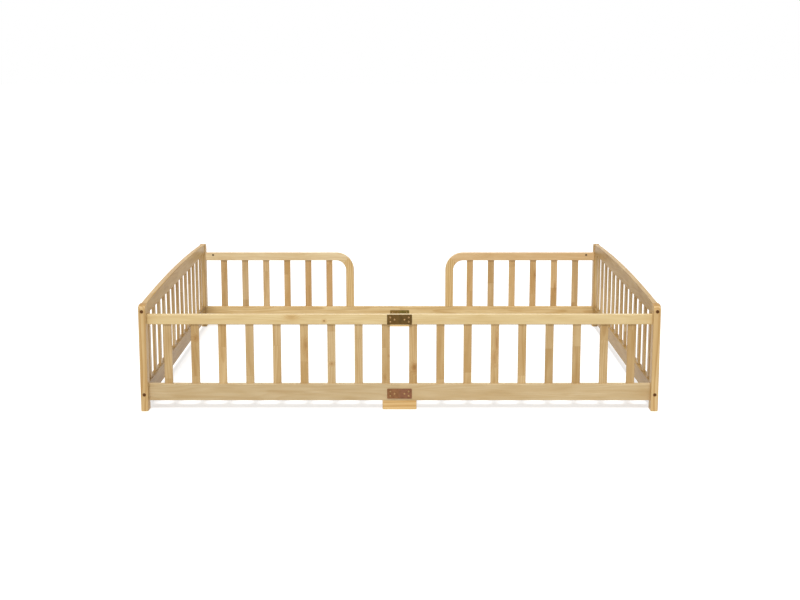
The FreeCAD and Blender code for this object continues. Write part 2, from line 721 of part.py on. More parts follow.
def placed(shape, position, axis):
    """A copy at a position, with its own Z turned to an axis."""
    copy = shape.copy()
    copy.Placement = FreeCAD.Placement(position, FreeCAD.Rotation(Vector(0, 0, 1), axis))
    return copy


def fourCorners():
    return [(side, face) for side in (-1, 1) for face in (-1, 1)]


def boltShape(clamped):
    """Socket screw: its head stands on z = 0 and its shank runs down."""
    shank = size("boltDiameter") / 2
    head = size("boltHeadDiameter") / 2
    top = size("boltHeadHeight")
    tip = clamped + size("nutSetback") + size("boltOvershoot")
    socketDepth = 0.6 * top
    bolt = turned([(0, top), (head, top), (head, 0), (shank, 0), (shank, -tip), (0, -tip),
                   (0, top)])
    corner = size("boltSocket") / math.sqrt(3)
    hexagon = [Vector(corner * math.cos(turn * math.pi / 3), corner * math.sin(turn * math.pi / 3),
                      top) for turn in range(7)]
    socket = Part.Face(Part.makePolygon(hexagon)).extrude(Vector(0, 0, -socketDepth))
    return bolt.cut(socket)


def makeEndRailBolts(name):
    """Bolts through the front and back edges of the stiles into the end rails."""
    bolt = boltShape(size("stileWidth") - size("counterboreDepth"))
    reach = size("halfWidth") - size("counterboreDepth")
    return makeGroup(name, [
        placed(bolt, Vector(side * size("endPanelMiddle"), face * reach, level),
               Vector(0, face, 0))
        for side, face in fourCorners() for level in (size("topEndBolt"), size("lowEndBolt"))])


def makeFenceRailBolts(name):
    """Bolts through the outer faces of the stiles into the front and back rails."""
    bolt = boltShape(size("stileThickness") - size("counterboreDepth"))
    reach = size("halfLength") - size("counterboreDepth")
    return makeGroup(name, [
        placed(bolt, Vector(side * reach, face * size("fenceMiddle"), level),
               Vector(side, 0, 0))
        for side, face in fourCorners() for level in (size("topFenceBolt"), size("lowFenceBolt"))])


def nutShape(axis, boltAxis):
    """Barrel nut about its middle, with the cross hole that takes the bolt."""
    radius = size("nutDiameter") / 2
    length = size("nutLength")
    hole = size("boltDiameter") / 2 + size("nutPlay")
    barrel = Part.makeCylinder(radius, length, axis * (-length / 2), axis)
    return barrel.cut(Part.makeCylinder(hole, 4 * radius, boltAxis * (-2 * radius), boltAxis))


def makeBarrelNuts(name):
    alongX = Vector(1, 0, 0)
    alongY = Vector(0, 1, 0)
    endNut = nutShape(alongX, alongY)
    fenceNut = nutShape(alongY, alongX)
    nuts = []
    for side, face in fourCorners():
        for level in (size("topEndBolt"), size("lowEndBolt")):
            spot = Vector(side * size("endPanelMiddle"),
                          face * (size("endRailLength") / 2 - size("nutSetback")), level)
            nuts.append(endNut.translated(spot))
        for level in (size("topFenceBolt"), size("lowFenceBolt")):
            spot = Vector(side * (size("fenceLength") - size("nutSetback")),
                          face * size("fenceMiddle"), level)
            nuts.append(fenceNut.translated(spot))
    return makeGroup(name, nuts)


def makePlateScrews(name):
    """Round-headed screws through the splice plates, six to a plate."""
    shank = size("screwDiameter") / 2
    head = size("screwHeadDiameter") / 2
    top = size("screwHeadHeight")
    tip = size("screwLength")
    crown = 0.6 * head
    screw = turned([(0, top), (crown, top), (head, 0), (shank, 0), (shank, -tip), (0, -tip),
                    (0, top)])
    outward = Vector(0, -1, 0)
    frontFace = -size("fenceFront") - size("plateThickness")
    backFace = size("halfWidth") - size("stileWidth") - size("plateThickness")
    places = ((frontFace, "upperPlateLevel"), (frontFace, "lowerPlateLevel"),
              (backFace, "lowerPlateLevel"))
    screws = []
    for along, plateLevel in places:
        middle = size(plateLevel) + size("plateHeight") / 2
        for side in (-1, 1):
            outer = side * size("outerScrewSpread") / 2
            inner = side * size("innerScrewSpread") / 2
            stack = size("screwStack") / 2
            for across, level in ((outer, middle + stack), (outer, middle - stack),
                                  (inner, middle)):
                screws.append(placed(screw, Vector(across, along, level), outward))
    return makeGroup(name, screws)


def makeJointDowels(name):
    """Fluted beech pins, shown plain: half of each is in either piece of a joint."""
    radius = size("dowelDiameter") / 2
    half = size("halfDowel")
    dowel = Part.makeCylinder(radius, 2 * half, Vector(0, 0, -half))
    alongX = Vector(1, 0, 0)
    alongY = Vector(0, 1, 0)
    upwards = Vector(0, 0, 1)
    topFence = size("topFenceDowel")
    lowFence = size("lowFenceDowel")
    middle = size("fenceMiddle")
    uprightAxis = size("fenceLength") - size("uprightFace") - size("topRailHeight") / 2
    joints = [(Vector(0, -middle, topFence), alongX)]
    for face in (-1, 1):
        joints.append((Vector(0, face * middle, lowFence), alongX))
    for side, face in fourCorners():
        for level in (topFence, lowFence):
            joints.append((Vector(side * size("fenceLength"), face * middle, level), alongX))
        for level in (size("topEndDowel"), size("lowEndDowel")):
            joints.append((Vector(side * size("endPanelMiddle"),
                                  face * size("endRailLength") / 2, level), alongY))
        joints.append((Vector(side * size("footDowelSpread") / 2, face * middle,
                              size("floorGap")), upwards))
    for side in (-1, 1):
        joints.append((Vector(side * uprightAxis, middle, size("bottomRailTop")), upwards))
    return makeGroup(name, [placed(dowel, spot, axis) for spot, axis in joints])


# The whole bed: the left half is built, the right half mirrors it

pieces = []


def keep(*made):
    pieces.extend(made)


frontLeftStile = makeStile("front_left_stile")
backLeftStile = mirrored(frontLeftStile, "back_left_stile", Vector(0, 1, 0))
keep(frontLeftStile, backLeftStile)
keep(mirrored(frontLeftStile, "front_right_stile"), mirrored(backLeftStile, "back_right_stile"))

leftPieces = [
    (makeEndTopRail("left_end_top_rail"), "right_end_top_rail"),
    (makeEndBottomRail("left_end_bottom_rail"), "right_end_bottom_rail"),
    (makeEndSlats("left_end_slats"), "right_end_slats"),
    (makeFrontTopRail("front_top_rail_left"), "front_top_rail_right"),
    (makeFrontBottomRail("front_bottom_rail_left"), "front_bottom_rail_right"),
    (makeBackBottomRail("back_bottom_rail_left"), "back_bottom_rail_right"),
    (makeGuardTopRail("left_guard_top_rail"), "right_guard_top_rail"),
    (makeGuardUpright("left_guard_upright"), "right_guard_upright"),
]
for step in range(frontSlatsPerHalf):
    slat = makeFrontSlat(f"front_slat_{step + 1:02d}", step)
    leftPieces.append((slat, f"front_slat_{2 * frontSlatsPerHalf - step:02d}"))
for step in range(guardSlats):
    slat = makeGuardSlat(f"left_guard_slat_{step + 1}", step)
    leftPieces.append((slat, f"right_guard_slat_{step + 1}"))
for piece, twinName in leftPieces:
    keep(piece, mirrored(piece, twinName))

keep(makePlate("front_upper_splice_plate", "- fenceFront", "upperPlateLevel"),
     makePlate("front_lower_splice_plate", "- fenceFront", "lowerPlateLevel"),
     makePlate("back_splice_plate", "halfWidth - stileWidth", "lowerPlateLevel"),
     makeMiddleFoot("front_middle_foot", "- fenceFront"),
     makeMiddleFoot("back_middle_foot", "halfWidth - stileWidth"),
     makeEndRailBolts("end_rail_bolts"),
     makeFenceRailBolts("fence_rail_bolts"),
     makeBarrelNuts("barrel_nuts"),
     makePlateScrews("plate_screws"),
     makeJointDowels("joint_dowels"))

doc.recompute()
for item in doc.Objects:
    if "Invalid" in item.State or "Error" in item.State:
        raise ValueError(f"{item.Label} failed: {item.State}")
for piece in pieces:
    if piece.Shape.isNull() or not piece.Shape.isValid():
        raise ValueError(f"{piece.Label} has no valid shape")

os.makedirs("parts", exist_ok=True)
for piece in pieces:
    piece.Shape.exportStep(f"parts/{piece.Label}.step")
print(f"{len(pieces)} pieces written")
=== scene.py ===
import math
import random

import bpy
from mathutils import Matrix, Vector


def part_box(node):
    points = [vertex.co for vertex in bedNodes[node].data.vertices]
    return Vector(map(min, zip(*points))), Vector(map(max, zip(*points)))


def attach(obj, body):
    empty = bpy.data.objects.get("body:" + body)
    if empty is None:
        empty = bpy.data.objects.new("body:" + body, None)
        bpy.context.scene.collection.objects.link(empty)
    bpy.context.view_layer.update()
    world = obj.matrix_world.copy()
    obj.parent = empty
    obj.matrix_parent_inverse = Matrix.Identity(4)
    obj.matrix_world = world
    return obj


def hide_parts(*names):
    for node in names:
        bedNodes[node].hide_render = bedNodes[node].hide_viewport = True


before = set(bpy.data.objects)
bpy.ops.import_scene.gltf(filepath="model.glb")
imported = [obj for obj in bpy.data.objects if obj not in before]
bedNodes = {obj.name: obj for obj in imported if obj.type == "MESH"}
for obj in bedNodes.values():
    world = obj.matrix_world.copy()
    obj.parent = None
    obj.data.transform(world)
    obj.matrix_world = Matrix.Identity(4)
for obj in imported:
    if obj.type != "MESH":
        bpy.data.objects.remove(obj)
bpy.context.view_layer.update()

# Toddler floor bed in clear pine with bronzed fittings. Metres, front towards -Y.

print("frame loaded:", len(bedNodes), "pieces")


def linear(red, green, blue):
    # a colour picked on screen, 0 to 255, as shaders want it: the sRGB curve undone
    parts = []
    for part in (red, green, blue):
        part = part / 255
        parts.append(part / 12.92 if part <= 0.04045 else ((part + 0.055) / 1.055) ** 2.4)
    return (*parts, 1.0)


# shader nodes: each place is only where the node is drawn in the editor

def addNode(tree, kind, place, **values):
    node = tree.nodes.new(kind)
    node.location = place
    for name, value in values.items():
        setattr(node, name, value)
    return node


def mathNode(tree, operation, place, first, second=None, third=None, clamp=False):
    node = addNode(tree, "ShaderNodeMath", place, operation=operation, use_clamp=clamp)
    for index, value in enumerate((first, second, third)):
        if isinstance(value, (int, float)):
            node.inputs[index].default_value = value
        elif value is not None:
            tree.links.new(value, node.inputs[index])
    return node.outputs[0]


def vectorNode(tree, operation, place, first, second=None, scale=None):
    node = addNode(tree, "ShaderNodeVectorMath", place, operation=operation)
    for index, value in enumerate((first, second)):
        if isinstance(value, tuple):
            node.inputs[index].default_value = value
        elif value is not None:
            tree.links.new(value, node.inputs[index])
    if scale is not None:
        tree.links.new(scale, node.inputs["Scale"])
    return node.outputs["Value" if operation == "LENGTH" else "Vector"]


# sockets of a Mix node that mixes colours
mixSockets = {"amount": 0, "first": 6, "second": 7, "result": 2}


def mixColour(tree, place, amount, first, second, blend="MIX"):
    node = addNode(tree, "ShaderNodeMix", place, data_type="RGBA", blend_type=blend)
    for label, value in (("amount", amount), ("first", first), ("second", second)):
        socket = node.inputs[mixSockets[label]]
        if isinstance(value, (int, float, tuple)):
            socket.default_value = value
        else:
            tree.links.new(value, socket)
    return node.outputs[mixSockets["result"]]


def tintColour(tree, place, amount, strength, base, tint, blend="MULTIPLY"):
    share = mathNode(tree, "MULTIPLY", (place[0] - 200, place[1] - 200), amount, strength)
    return mixColour(tree, place, share, base, tint, blend)


def riseNode(tree, place, value, low, high):
    # 0 up to the low value, rising smoothly to 1 at the high one
    node = addNode(tree, "ShaderNodeMapRange", place, interpolation_type="SMOOTHSTEP")
    tree.links.new(value, node.inputs["Value"])
    node.inputs["From Min"].default_value = low
    node.inputs["From Max"].default_value = high
    return node.outputs["Result"]


def fallNode(tree, place, value, low, high):
    # the reverse: 1 up to the low value, 0 from the high one
    return mathNode(tree, "SUBTRACT", place, 1.0,
                    riseNode(tree, (place[0] - 200, place[1]), value, low, high))


def noiseNode(tree, place, vector, detail):
    node = addNode(tree, "ShaderNodeTexNoise", place, noise_dimensions="3D")
    node.inputs["Scale"].default_value = 1.0
    node.inputs["Detail"].default_value = detail
    tree.links.new(vector, node.inputs["Vector"])
    return node


def lotNode(tree, place, value, dimensions="1D"):
    # a random number and colour for each value
    node = addNode(tree, "ShaderNodeTexWhiteNoise", place, noise_dimensions=dimensions)
    tree.links.new(value, node.inputs["W" if dimensions == "1D" else "Vector"])
    return node


def newGroup(name, inputs, outputs):
    tree = bpy.data.node_groups.new(name, "ShaderNodeTree")
    for way, sockets in (("INPUT", inputs), ("OUTPUT", outputs)):
        for label, kind in sockets.items():
            tree.interface.new_socket(label, in_out=way, socket_type="NodeSocket" + kind)
    source = addNode(tree, "NodeGroupInput", (-1600, 0))
    result = addNode(tree, "NodeGroupOutput", (1400, 0))
    return tree, source.outputs, result.inputs


# camera, at the photograph's angle

shot = {
    "place": (0.0019, -5.2212, 1.3769),
    "pitchDown": 8.9007,  # degrees below level
    "lens": 54.524,       # mm, on a sensor 36 mm wide
    "shiftY": -0.07821,   # of the picture's width
}

bpy.ops.object.camera_add(location=shot["place"],
                          rotation=(math.radians(90 - shot["pitchDown"]), 0, 0))
photoCamera = bpy.context.object
photoCamera.name = "photo_camera"
photoCamera.data.lens = shot["lens"]
photoCamera.data.shift_y = shot["shiftY"]
bpy.context.scene.camera = photoCamera
bpy.context.scene.view_settings.view_transform = "Standard"
print("camera set")


# studio: pale floor, white surroundings, a distant lamp in front and a weak one behind

studio = {
    "skyStrength": 0.49,      # even light from all round
    "keyStrength": 2.10,      # watts on a square metre
    "keyFrom": (-0.05, -0.50, 0.86),
    "keySpread": 13,          # degrees across, which softens the shadows
    "fillStrength": 0.15,
    "fillFrom": (0.0, 0.94, 0.34),
    "fillSpread": 24,
    "lampDistance": 6,        # only where the lamps are drawn: their light is parallel
    "floorColour": (0.80, 0.80, 0.80, 1.0),
    "floorGlow": 0.48,        # only what the camera sees of the floor
    "floorSize": 80,
}


def seenDirectly(tree, place):
    # 1 for what the camera, a reflection or a clear surface sees, 0 for light on the bed
    path = addNode(tree, "ShaderNodeLightPath", place).outputs
    seen = mathNode(tree, "MAXIMUM", (place[0] + 200, place[1]), path["Is Camera Ray"],
                    path["Is Glossy Ray"])
    return mathNode(tree, "MAXIMUM", (place[0] + 400, place[1]), seen,
                    path["Is Transmission Ray"])


def makeSurroundings():
    world = bpy.data.worlds.new("white_surroundings")
    bpy.context.scene.world = world
    world.use_nodes = True
    tree = world.node_tree
    light = tree.nodes["Background"]
    light.inputs["Color"].default_value = (1, 1, 1, 1)
    seen = seenDirectly(tree, (-900, 0))
    strength = mathNode(tree, "MULTIPLY_ADD", (-250, 0), seen, 1 - studio["skyStrength"],
                        studio["skyStrength"])
    tree.links.new(strength, light.inputs["Strength"])


def makeFloor():
    bpy.ops.mesh.primitive_plane_add(size=studio["floorSize"], location=(0, 0, 0))
    floor = bpy.context.object
    floor.name = "studio_floor"
    material = bpy.data.materials.new("studio_floor_paper")
    material.use_nodes = True
    tree = material.node_tree
    paper = tree.nodes["Principled BSDF"].inputs
    paper["Base Color"].default_value = studio["floorColour"]
    paper["Roughness"].default_value = 1.0
    paper["Specular IOR Level"].default_value = 0.0
    paper["Emission Color"].default_value = (1, 1, 1, 1)
    glow = mathNode(tree, "MULTIPLY", (-250, -200), seenDirectly(tree, (-900, -200)),
                    studio["floorGlow"])
    tree.links.new(glow, paper["Emission Strength"])
    floor.data.materials.append(material)


def makeLamp(name):
    bpy.ops.object.light_add(type="SUN", location=[
        studio["lampDistance"] * part for part in studio[name + "From"]])
    lamp = bpy.context.object
    lamp.name = name + "_lamp"
    lamp.data.energy = studio[name + "Strength"]
    lamp.data.angle = math.radians(studio[name + "Spread"])
    lamp.rotation_euler = (-lamp.location).to_track_quat("-Z", "Y").to_euler()


makeSurroundings()
makeFloor()
makeLamp("key")
makeLamp("fill")
print("studio set")


# pine: boards finger-jointed end to end, growth rings about a pith, fibres, knots

grainShape = {
    "fingerDepth": 0.004,             # metres through the thickness, for one finger
    "fingerReach": 2.5,               # its length along the grain, times its depth
    "seamWidth": 0.00018,
    "jointShift": 0.7134,             # metres that one step of the seed shifts the joints
    "lotShift": 3.7,
    "lotSpread": 4.0,
    "jump": (7.31, 3.17, 5.93),       # metres that one step of the seed shifts the noise
    "knotCells": (8.0, 8.0, 2.2),     # in a metre across the grain, across and along it
    "knotShape": (0.125, 0.125, 0.30),  # back to metres, half as long again along the grain
    "knotCore": (0.0035, 0.0075),     # metres from a knot's middle to clear wood
    "knotReach": 0.038,               # and to where the rings run straight again
    "knotBow": 0.010,
    "driftCells": (9.0, 9.0, 1.1),
    "driftWidth": (0.055, 0.055, 0.0),
    "pithScatter": (0.05, 0.05, 0.0),
    "lateWood": (0.30, 0.90),         # share of a ring over which it darkens
    "ringEnd": (0.92, 1.0),           # and over which it turns pale again
    "fibreCells": (480.0, 480.0, 9.0),
    "fibreRelief": 0.6,
    "patchCells": (44.0, 44.0, 6.5),
    "patchBend": 0.4,
}
noiseMiddle = (0.5, 0.5, 0.5)
acrossGrain = (1.0, 1.0, 0.0)


def makePineGroup():
    # the grain runs along Z
    shape = grainShape
    tree, source, result = newGroup("pine_grain", {
        "Vector": "Vector", "Pith": "Vector", "Seed": "Float", "Ring Width": "Float",
        "Knots": "Float", "Length": "Float", "Swell": "Float",
    }, {
        "Rings": "Float", "Fibre": "Float", "Patches": "Float", "Knot": "Float",
        "Height": "Float", "Piece": "Float", "Seam": "Float",
    })
    vector, seed, length = source["Vector"], source["Seed"], source["Length"]
    # finger joints: the joint line zigzags through the thickness
    parts = addNode(tree, "ShaderNodeSeparateXYZ", (-2600, 0))
    tree.links.new(vector, parts.inputs[0])
    finger = mathNode(tree, "PINGPONG", (-2400, -200), parts.outputs["Y"], shape["fingerDepth"])
    along = mathNode(tree, "MULTIPLY_ADD", (-2200, 0), finger, shape["fingerReach"],
                     parts.outputs["Z"])
    along = mathNode(tree, "MULTIPLY_ADD", (-2200, 180), seed, shape["jointShift"], along)
    steps = mathNode(tree, "DIVIDE", (-2000, 0), along, length)
    cell = mathNode(tree, "FLOOR", (-1800, 100), steps)
    lot = lotNode(tree, (-1600, 300), mathNode(tree, "MULTIPLY_ADD", (-1800, 300), seed,
                                               shape["lotShift"], cell)).outputs
    fromEnd = mathNode(tree, "PINGPONG", (-1800, -150), steps, 0.5)
    nearEnd = mathNode(tree, "MULTIPLY", (-1600, -150), fromEnd, length)
    seam = mathNode(tree, "LESS_THAN", (-1400, -150), nearEnd, shape["seamWidth"])
    seedHere = mathNode(tree, "MULTIPLY_ADD", (-1600, 500), lot["Value"], shape["lotSpread"],
                        seed)
    jump = vectorNode(tree, "SCALE", (-1400, 200), shape["jump"], scale=seedHere)
    spot = vectorNode(tree, "ADD", (-1200, 200), vector, jump)

    # knots: scattered points, long along the grain
    knotCells = vectorNode(tree, "MULTIPLY", (-1000, -400), spot, shape["knotCells"])
    points = addNode(tree, "ShaderNodeTexVoronoi", (-800, -400), feature="F1")
    points.inputs["Scale"].default_value = 1.0
    tree.links.new(knotCells, points.inputs["Vector"])
    point = points.outputs["Position"]
    away = vectorNode(tree, "SUBTRACT", (-600, -400), knotCells, point)
    away = vectorNode(tree, "MULTIPLY", (-400, -400), away, shape["knotShape"])
    reach = vectorNode(tree, "LENGTH", (-200, -400), away)
    knotLot = lotNode(tree, (-600, -650), point, "3D").outputs["Value"]
    chosen = mathNode(tree, "LESS_THAN", (-400, -650), knotLot, source["Knots"])
    core = fallNode(tree, (0, -400), reach, *shape["knotCore"])
    knot = mathNode(tree, "MULTIPLY", (200, -400), core, chosen)

    # rings about a pith of each length's own: they drift, and bow round a knot
    swell = fallNode(tree, (0, -200), reach, 0.0, shape["knotReach"])
    swell = mathNode(tree, "MULTIPLY_ADD", (200, -200), swell, chosen, source["Swell"])
    drift = noiseNode(tree, (-800, 450),
                      vectorNode(tree, "MULTIPLY", (-1000, 450), spot, shape["driftCells"]), 2.0)
    sway = vectorNode(tree, "SUBTRACT", (-600, 450), drift.outputs["Color"], noiseMiddle)
    sway = vectorNode(tree, "MULTIPLY", (-400, 450), sway, shape["driftWidth"])
    aside = vectorNode(tree, "SUBTRACT", (-1400, 700), lot["Color"], noiseMiddle)
    aside = vectorNode(tree, "MULTIPLY", (-1200, 700), aside, shape["pithScatter"])
    pith = vectorNode(tree, "ADD", (-1000, 800), source["Pith"], aside)
    flat = vectorNode(tree, "ADD", (-800, 700), vector, pith)
    flat = vectorNode(tree, "MULTIPLY", (-600, 700), flat, acrossGrain)
    radius = vectorNode(tree, "LENGTH", (0, 500), vectorNode(tree, "ADD", (-200, 500), flat, sway))
    radius = mathNode(tree, "MULTIPLY_ADD", (200, 500), swell, shape["knotBow"], radius)
    turns = mathNode(tree, "DIVIDE", (400, 500), radius, source["Ring Width"])
    growth = mathNode(tree, "FRACT", (600, 500), turns)
    late = riseNode(tree, (800, 500), growth, *shape["lateWood"])
    ending = fallNode(tree, (800, 350), growth, *shape["ringEnd"])
    rings = mathNode(tree, "MULTIPLY", (1000, 500), late, ending)

    fibres = noiseNode(tree, (-800, 150),
                       vectorNode(tree, "MULTIPLY", (-1000, 150), spot, shape["fibreCells"]), 4.0)
    patches = noiseNode(tree, (-800, -100),
                        vectorNode(tree, "MULTIPLY", (-1000, -100), spot, shape["patchCells"]),
                        3.0)
    patches.inputs["Distortion"].default_value = shape["patchBend"]
    height = mathNode(tree, "MULTIPLY_ADD", (1000, 100), fibres.outputs["Fac"],
                      shape["fibreRelief"], rings)
    height = mathNode(tree, "SUBTRACT", (1200, 100), height, seam)
    for label, value in (("Rings", rings), ("Fibre", fibres.outputs["Fac"]),
                         ("Patches", patches.outputs["Fac"]), ("Knot", knot),
                         ("Height", height), ("Piece", lot["Value"]), ("Seam", seam)):
        tree.links.new(value, result[label])
    return tree


markShape = {
    "roughCells": 1.3,
    "roughness": 0.7,         # how far the outline wanders, times the mark's size
    "core": (0.75, 1.30),     # sizes from the middle over which the mark fades
    "halo": (0.8, 3.2),
}


def makeMarkGroup():
    # one knot or dark figure at a set place
    tree, source, result = newGroup(
        "wood_mark", {"Vector": "Vector", "Centre": "Vector", "Scale": "Vector"},
        {"Core": "Float", "Halo": "Float"})
    away = vectorNode(tree, "SUBTRACT", (-1200, 0), source["Vector"], source["Centre"])
    away = vectorNode(tree, "MULTIPLY", (-1000, 0), away, source["Scale"])
    rough = noiseNode(tree, (-1000, -250), away, 2.0)
    rough.inputs["Scale"].default_value = markShape["roughCells"]
    reach = mathNode(tree, "MULTIPLY_ADD", (-600, 0), rough.outputs["Fac"],
                     markShape["roughness"], vectorNode(tree, "LENGTH", (-800, 0), away))
    core = fallNode(tree, (-200, 100), reach, *markShape["core"])
    halo = fallNode(tree, (-200, -100), reach, *markShape["halo"])
    tree.links.new(core, result["Core"])
    tree.links.new(halo, result["Halo"])
    return tree


def makeRowGroup():
    # boards of one row in one mesh: each gets its own centre and its own lot
    tree, source, result = newGroup("board_row", {"Vector": "Vector", "Pitch": "Float"},
                                    {"Vector": "Vector", "Lot": "Float"})
    split = addNode(tree, "ShaderNodeSeparateXYZ", (-1400, 0))
    tree.links.new(source["Vector"], split.inputs[0])
    parts = split.outputs
    cell = mathNode(tree, "ROUND", (-1000, 0),
                    mathNode(tree, "DIVIDE", (-1200, 0), parts["Y"], source["Pitch"]))
    centre = mathNode(tree, "MULTIPLY", (-800, 0), cell, source["Pitch"])
    within = mathNode(tree, "SUBTRACT", (-600, 0), parts["Y"], centre)
    joined = addNode(tree, "ShaderNodeCombineXYZ", (-400, 0))
    for letter, value in (("X", parts["X"]), ("Y", within), ("Z", parts["Z"])):
        tree.links.new(value, joined.inputs[letter])
    tree.links.new(joined.outputs[0], result["Vector"])
    tree.links.new(lotNode(tree, (-600, -200), cell).outputs["Value"], result["Lot"])
    return tree


pineGrain = makePineGroup()
woodMark = makeMarkGroup()
boardRow = makeRowGroup()

pineLook = {
    "pale": (1.09, 1.12, 1.19),             # times the board's colour, where the wood is palest
    "deep": (0.87, 0.80, 0.69),             # and where it is deepest
    "toneContrast": 3.4,
    "lateTint": (0.74, 0.60, 0.42, 1.0),    # the dark part of a ring
    "fibreTint": (0.66, 0.54, 0.40, 1.0),
    "fibreStrength": 0.20,
    "seamTint": (0.45, 0.33, 0.20, 1.0),
    "seamStrength": 0.6,
    "haloTint": (0.76, 0.58, 0.36, 1.0),
    "haloStrength": 0.55,
    "knotColour": linear(136, 88, 48),
    "knotStrength": 0.7,
    "endTint": (0.74, 0.62, 0.47, 1.0),     # cut ends drink more of the lacquer
    "endStrength": 0.80,
    "endFacing": (0.60, 0.97),              # how squarely a surface faces along the grain
    "endRoughness": 0.2,
    "rowSpread": 9.0,                       # steps of the seed between boards of a row
    "roughness": (0.36, 0.54),
    "specular": 0.20,
    "coatWeight": 0.06,
    "coatRoughness": 0.24,
    "bumpDistance": 0.00022,
    "bumpStrength": 0.35,
}

# how Object coordinates turn so that the grain runs along Z
grainTurns = {"X": (0, math.radians(-90), 0), "Y": (math.radians(90), 0, 0), "Z": (0, 0, 0)}


def placeMarks(tree, place, axis, marks):
    core = halo = None
    for number, mark in enumerate(marks):
        row = -500 - 220 * number
        spot = addNode(tree, "ShaderNodeGroup", (-1900, row), node_tree=woodMark)
        spot.inputs["Centre"].default_value = mark["at"]
        spot.inputs["Scale"].default_value = [
            1 / (mark["size"] * (mark["stretch"] if letter == axis else 1)) for letter in "XYZ"]
        tree.links.new(place, spot.inputs["Vector"])
        solid = mathNode(tree, "MULTIPLY", (-1700, row), spot.outputs["Core"], mark["dark"])
        edge = spot.outputs["Halo"]
        core = solid if core is None else mathNode(tree, "MAXIMUM", (-1500, -500), core, solid)
        halo = edge if halo is None else mathNode(tree, "MAXIMUM", (-1500, -700), halo, edge)
    return core, halo


def makePine(name, colour, axis, centre, seed, pith, look, ringWidth, pitch=None, marks=()):
    material = bpy.data.materials.new(name)
    material.use_nodes = True
    tree = material.node_tree
    surface = tree.nodes["Principled BSDF"].inputs
    texture = addNode(tree, "ShaderNodeTexCoord", (-2400, 0))
    place = coordinates = texture.outputs["Object"]
    lot = None
    if pitch:
        row = addNode(tree, "ShaderNodeGroup", (-2200, 0), node_tree=boardRow)
        row.inputs["Pitch"].default_value = pitch
        tree.links.new(coordinates, row.inputs["Vector"])
        coordinates, lot = row.outputs["Vector"], row.outputs["Lot"]
    centred = vectorNode(tree, "SUBTRACT", (-2000, 0), coordinates, tuple(centre))
    turned = addNode(tree, "ShaderNodeMapping", (-1800, 0))
    turned.inputs["Rotation"].default_value = grainTurns[axis]
    tree.links.new(centred, turned.inputs["Vector"])
    group = addNode(tree, "ShaderNodeGroup", (-1300, 0), node_tree=pineGrain)
    grain = group.outputs
    tree.links.new(turned.outputs["Vector"], group.inputs["Vector"])
    for label, value in (("Pith", (*pith, 0)), ("Ring Width", ringWidth),
                         ("Knots", look["knots"]), ("Length", look["length"]), ("Seed", seed)):
        group.inputs[label].default_value = value
    if lot:
        tree.links.new(mathNode(tree, "MULTIPLY_ADD", (-1500, -250), lot, pineLook["rowSpread"],
                                seed), group.inputs["Seed"])
    core, halo = placeMarks(tree, place, axis, marks)
    if halo:
        tree.links.new(halo, group.inputs["Swell"])

    # palest to deepest wood, by patch and by length
    contrast = pineLook["toneContrast"]
    tone = mathNode(tree, "MULTIPLY_ADD", (-1100, 500), grain["Patches"],
                    contrast * look["patches"], 0.5 - contrast / 2 * look["patches"])
    tone = mathNode(tree, "MULTIPLY_ADD", (-900, 500), grain["Piece"], look["pieces"], tone)
    tone = mathNode(tree, "SUBTRACT", (-700, 500), tone, look["pieces"] / 2, clamp=True)
    pale = (*(part * change for part, change in zip(colour, pineLook["pale"])), 1.0)
    deep = (*(part * change for part, change in zip(colour, pineLook["deep"])), 1.0)
    wood = mixColour(tree, (-500, 500), tone, pale, deep)
    wood = tintColour(tree, (-300, 400), grain["Rings"], look["rings"], wood,
                      pineLook["lateTint"])
    wood = tintColour(tree, (-100, 400), grain["Fibre"], pineLook["fibreStrength"], wood,
                      pineLook["fibreTint"])
    wood = tintColour(tree, (100, 400), grain["Seam"], pineLook["seamStrength"], wood,
                      pineLook["seamTint"])
    if halo:
        wood = tintColour(tree, (200, 600), halo, pineLook["haloStrength"], wood,
                          pineLook["haloTint"])
        wood = mixColour(tree, (300, 600), core, wood, pineLook["knotColour"])
    wood = tintColour(tree, (300, 400), grain["Knot"], pineLook["knotStrength"], wood,
                      pineLook["knotColour"], "MIX")

    # cut ends, where the surface faces along the grain
    facing = addNode(tree, "ShaderNodeSeparateXYZ", (-900, -350))
    tree.links.new(texture.outputs["Normal"], facing.inputs[0])
    squarely = mathNode(tree, "ABSOLUTE", (-700, -350), facing.outputs[axis])
    cutEnd = riseNode(tree, (-500, -350), squarely, *pineLook["endFacing"])
    wood = tintColour(tree, (500, 400), cutEnd, pineLook["endStrength"], wood,
                      pineLook["endTint"])
    tree.links.new(wood, surface["Base Color"])

    shine = addNode(tree, "ShaderNodeMapRange", (-450, -150))
    smoothest, roughest = pineLook["roughness"]
    shine.inputs["To Min"].default_value = smoothest
    shine.inputs["To Max"].default_value = roughest
    tree.links.new(grain["Fibre"], shine.inputs["Value"])
    tree.links.new(mathNode(tree, "MULTIPLY_ADD", (-250, -150), cutEnd,
                            pineLook["endRoughness"], shine.outputs["Result"]),
                   surface["Roughness"])
    surface["Specular IOR Level"].default_value = pineLook["specular"]
    surface["Coat Weight"].default_value = pineLook["coatWeight"]
    surface["Coat Roughness"].default_value = pineLook["coatRoughness"]
    relief = addNode(tree, "ShaderNodeBump", (-250, -500))
    relief.inputs["Strength"].default_value = pineLook["bumpStrength"]
    relief.inputs["Distance"].default_value = pineLook["bumpDistance"]
    tree.links.new(grain["Height"], relief.inputs["Height"])
    tree.links.new(relief.outputs["Normal"], surface["Normal"])
    return material


def dress(name, material):
    for slot in bedNodes[name].material_slots:
        slot.link = "OBJECT"
        slot.material = material


def middleOf(name):
    low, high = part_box(name)
    return [(low[axis] + high[axis]) / 2 for axis in range(3)]


# the boards: colour on screen, grain direction, how much of each feature they show

